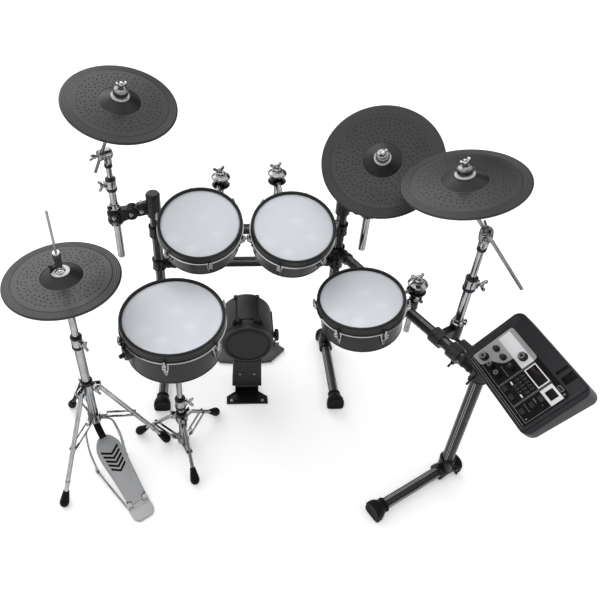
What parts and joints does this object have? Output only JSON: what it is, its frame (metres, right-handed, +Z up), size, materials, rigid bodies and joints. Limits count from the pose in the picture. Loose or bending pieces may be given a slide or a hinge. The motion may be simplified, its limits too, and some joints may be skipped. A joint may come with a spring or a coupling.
{
  "type": "electronic drum kit",
  "caption": "Electronic drum kit: tube rack with mesh-head drum pads, rubber cymbal pads on boom arms, hi-hat stand with pedal, snare stand, kick pad and tilting sound module.",
  "frame": {"origin": "on the floor under the middle of the kit's bounding box", "axes": "+X to the kit's right as its player sees it, +Y away from the player, +Z up"},
  "size_m": [1.536, 0.935, 1.2834],
  "materials": {
    "rack_black": "satin black",
    "black_casting": "matt black",
    "tower_black": "satin black",
    "rubber_black": "matt",
    "chrome_steel": "polished",
    "charcoal_shell": "satin",
    "pad_rubber": "matt",
    "board_silver": "satin",
    "module_plastic": "matt",
    "panel_plastic": "satin",
    "knob_black": "matt",
    "head_white": "matt",
    "rim_and_lugs": "rubber rim over chrome hoop and lugs",
    "key_grey": "satin"
  },
  "bodies": {
    "stand": {"rack_tubes": "rack_black", "rack_joints": "black_casting", "foot_boots": "rubber_black", "tube_clamps": "black_casting", "rack_wing_bolts": "black_casting", "stand_lower_tubes": "chrome_steel", "tube_collars": "chrome_steel", "chrome_wing_bolts": "chrome_steel", "tripod_hubs": "chrome_steel", "tripod_legs": "chrome_steel", "tripod_feet": "rubber_black", "tom_holders": "chrome_steel", "kick_body": "charcoal_shell", "kick_pad": "pad_rubber", "kick_stand": "tower_black", "pedal_base": "chrome_steel", "module_holder": "chrome_steel"},
    "left_cymbal_tube": {"left_upper_tube": "chrome_steel"},
    "left_cymbal_boom": {"left_boom": "chrome_steel"},
    "left_cymbal_pad": {"left_pad": "pad_rubber"},
    "mid_cymbal_tube": {"mid_upper_tube": "chrome_steel"},
    "mid_cymbal_boom": {"mid_boom": "chrome_steel"},
    "mid_cymbal_pad": {"mid_pad": "pad_rubber"},
    "right_cymbal_tube": {"right_upper_tube": "chrome_steel"},
    "right_cymbal_boom": {"right_boom": "chrome_steel"},
    "right_cymbal_pad": {"right_pad": "pad_rubber"},
    "hihat_tube": {"hihat_upper_tube": "chrome_steel"},
    "hihat_rod": {"hihat_rod": "chrome_steel", "hihat_pad": "pad_rubber"},
    "pedal": {"pedal_board": "board_silver"},
    "snare_tube": {"snare_upper_tube": "chrome_steel"},
    "snare": {"snare_basket": "chrome_steel", "snare_shell": "charcoal_shell", "snare_head": "head_white", "snare_hardware": "rim_and_lugs"},
    "snare_dial": {"snare_knob": "knob_black"},
    "left_tom": {"left_tom_head": "head_white", "left_tom_shell": "charcoal_shell", "left_tom_hardware": "rim_and_lugs"},
    "right_tom": {"right_tom_head": "head_white", "right_tom_shell": "charcoal_shell", "right_tom_hardware": "rim_and_lugs"},
    "floor_tom": {"floor_tom_head": "head_white", "floor_tom_shell": "charcoal_shell", "floor_tom_hardware": "rim_and_lugs"},
    "module": {"module_case": "module_plastic", "module_panel": "panel_plastic", "module_bracket": "tower_black"},
    "volume_knob_cap": {"volume_knob": "knob_black"},
    "data_dial_cap": {"data_dial": "knob_black"},
    "trim_knob_1_cap": {"trim_knob_1": "knob_black"},
    "trim_knob_2_cap": {"trim_knob_2": "knob_black"},
    "trim_knob_3_cap": {"trim_knob_3": "knob_black"},
    "trim_knob_4_cap": {"trim_knob_4": "knob_black"},
    "trim_knob_5_cap": {"trim_knob_5": "knob_black"},
    "key_1_cap": {"key_1": "key_grey"},
    "key_2_cap": {"key_2": "key_grey"},
    "key_3_cap": {"key_3": "key_grey"},
    "key_4_cap": {"key_4": "key_grey"},
    "key_5_cap": {"key_5": "key_grey"}
  },
  "joints": [
    {"name": "left_height", "type": "slide", "parent": "stand", "child": "left_cymbal_tube", "axis": [0, 0, 1], "range_m": [-0.03, 0.12]},
    {"name": "left_tilt", "type": "hinge", "parent": "left_cymbal_tube", "child": "left_cymbal_boom", "pos_m": [-0.532, 0.3865, 0.934], "axis": [-0.8757, -0.4829, 0], "range_deg": [-20, 20]},
    {"name": "left_rock", "type": "hinge", "parent": "left_cymbal_boom", "child": "left_cymbal_pad", "pos_m": [-0.43202, 0.22146, 1.21853], "axis": [-0.8757, -0.4829, 0], "range_deg": [-6, 6], "stiffness_Nm_per_rad": 10},
    {"name": "mid_height", "type": "slide", "parent": "stand", "child": "mid_cymbal_tube", "axis": [0, 0, 1], "range_m": [-0.006, 0.1]},
    {"name": "mid_tilt", "type": "hinge", "parent": "mid_cymbal_tube", "child": "mid_cymbal_boom", "pos_m": [0.352, 0.3905, 0.854], "axis": [-0.98, -0.1989, 0], "range_deg": [-8, 8]},
    {"name": "mid_rock", "type": "hinge", "parent": "mid_cymbal_boom", "child": "mid_cymbal_pad", "pos_m": [0.33765, 0.28153, 0.9738], "axis": [-0.98, -0.1989, 0], "range_deg": [-6, 6], "stiffness_Nm_per_rad": 10},
    {"name": "right_height", "type": "slide", "parent": "stand", "child": "right_cymbal_tube", "axis": [0, 0, 1], "range_m": [-0.08, 0.1]},
    {"name": "right_tilt", "type": "hinge", "parent": "right_cymbal_tube", "child": "right_cymbal_boom", "pos_m": [0.574, -0.0215, 0.888], "axis": [0.4155, 0.9096, 0], "range_deg": [-12, 12]},
    {"name": "right_rock", "type": "hinge", "parent": "right_cymbal_boom", "child": "right_cymbal_pad", "pos_m": [0.47997, 0.01196, 1.08389], "axis": [0.4155, 0.9096, 0], "range_deg": [-6, 6], "stiffness_Nm_per_rad": 10},
    {"name": "hihat_height", "type": "slide", "parent": "stand", "child": "hihat_tube", "axis": [0, 0, 1], "range_m": [-0.08, 0.02]},
    {"name": "hihat_pull", "type": "slide", "parent": "stand", "child": "hihat_rod", "axis": [0, 0, 1], "range_m": [-0.021, 0], "stiffness_N_per_m": 500, "springref_m": 0.06},
    {"name": "pedal_press", "type": "hinge", "parent": "stand", "child": "pedal", "pos_m": [-0.45272, -0.30512, 0.02], "axis": [-0.8192, -0.5736, 0], "range_deg": [0, 5]},
    {"name": "snare_height", "type": "slide", "parent": "stand", "child": "snare_tube", "axis": [0, 0, 1], "range_m": [-0.08, 0.02]},
    {"name": "snare_tilt", "type": "hinge", "parent": "snare_tube", "child": "snare", "pos_m": [-0.309, -0.0685, 0.43], "axis": [1, 0, 0], "range_deg": [-2, 12]},
    {"name": "snare_dial_turn", "type": "hinge", "parent": "snare", "child": "snare_dial", "pos_m": [-0.44898, -0.16968, 0.58273], "axis": [-0.829, -0.5587, -0.0244], "range_deg": [-135, 135]},
    {"name": "left_tom_tilt", "type": "hinge", "parent": "stand", "child": "left_tom", "pos_m": [-0.162, 0.4285, 0.8], "axis": [0.9506, -0.3105, 0], "range_deg": [-8, 8]},
    {"name": "right_tom_tilt", "type": "hinge", "parent": "stand", "child": "right_tom", "pos_m": [0.031, 0.4285, 0.812], "axis": [0.9866, 0.1632, 0], "range_deg": [-8, 8]},
    {"name": "floor_tom_tilt", "type": "hinge", "parent": "stand", "child": "floor_tom", "pos_m": [0.47026, 0.1002, 0.592], "axis": [0.3881, -0.9216, 0], "range_deg": [-8, 2]},
    {"name": "module_tilt", "type": "hinge", "parent": "stand", "child": "module", "pos_m": [0.67264, -0.30219, 0.61828], "axis": [0.2233, -0.9748, 0], "range_deg": [-10, 12]},
    {"name": "volume_knob_turn", "type": "hinge", "parent": "module", "child": "volume_knob_cap", "pos_m": [0.56957, -0.22908, 0.62406], "axis": [-0.682, -0.1562, 0.7145], "range_deg": [-140, 140]},
    {"name": "data_dial_turn", "type": "hinge", "parent": "module", "child": "data_dial_cap", "pos_m": [0.64032, -0.28149, 0.68013], "axis": [-0.682, -0.1562, 0.7145], "continuous": true},
    {"name": "trim_knob_1_turn", "type": "hinge", "parent": "module", "child": "trim_knob_1_cap", "pos_m": [0.59739, -0.22548, 0.6514], "axis": [-0.682, -0.1562, 0.7145], "range_deg": [-140, 140]},
    {"name": "trim_knob_2_turn", "type": "hinge", "parent": "module", "child": "trim_knob_2_cap", "pos_m": [0.60455, -0.25676, 0.6514], "axis": [-0.682, -0.1562, 0.7145], "range_deg": [-140, 140]},
    {"name": "trim_knob_3_turn", "type": "hinge", "parent": "module", "child": "trim_knob_3_cap", "pos_m": [0.61237, -0.29091, 0.6514], "axis": [-0.682, -0.1562, 0.7145], "range_deg": [-140, 140]},
    {"name": "trim_knob_4_turn", "type": "hinge", "parent": "module", "child": "trim_knob_4_cap", "pos_m": [0.57647, -0.25917, 0.62406], "axis": [-0.682, -0.1562, 0.7145], "range_deg": [-140, 140]},
    {"name": "trim_knob_5_turn", "type": "hinge", "parent": "module", "child": "trim_knob_5_cap", "pos_m": [0.58358, -0.29022, 0.62406], "axis": [-0.682, -0.1562, 0.7145], "range_deg": [-140, 140]},
    {"name": "key_1_press", "type": "slide", "parent": "module", "child": "key_1_cap", "axis": [0.682, 0.1562, -0.7145], "range_m": [0, 0.0008], "stiffness_N_per_m": 300, "springref_m": -0.001},
    {"name": "key_2_press", "type": "slide", "parent": "module", "child": "key_2_cap", "axis": [0.682, 0.1562, -0.7145], "range_m": [0, 0.0008], "stiffness_N_per_m": 300, "springref_m": -0.001},
    {"name": "key_3_press", "type": "slide", "parent": "module", "child": "key_3_cap", "axis": [0.682, 0.1562, -0.7145], "range_m": [0, 0.0008], "stiffness_N_per_m": 300, "springref_m": -0.001},
    {"name": "key_4_press", "type": "slide", "parent": "module", "child": "key_4_cap", "axis": [0.682, 0.1562, -0.7145], "range_m": [0, 0.0008], "stiffness_N_per_m": 300, "springref_m": -0.001},
    {"name": "key_5_press", "type": "slide", "parent": "module", "child": "key_5_cap", "axis": [0.682, 0.1562, -0.7145], "range_m": [0, 0.0008], "stiffness_N_per_m": 300, "springref_m": -0.001}
  ],
  "couplings": [
    {"joint": "pedal_press", "follows": "hihat_pull", "rad_per_m": -4.0486}
  ]
}
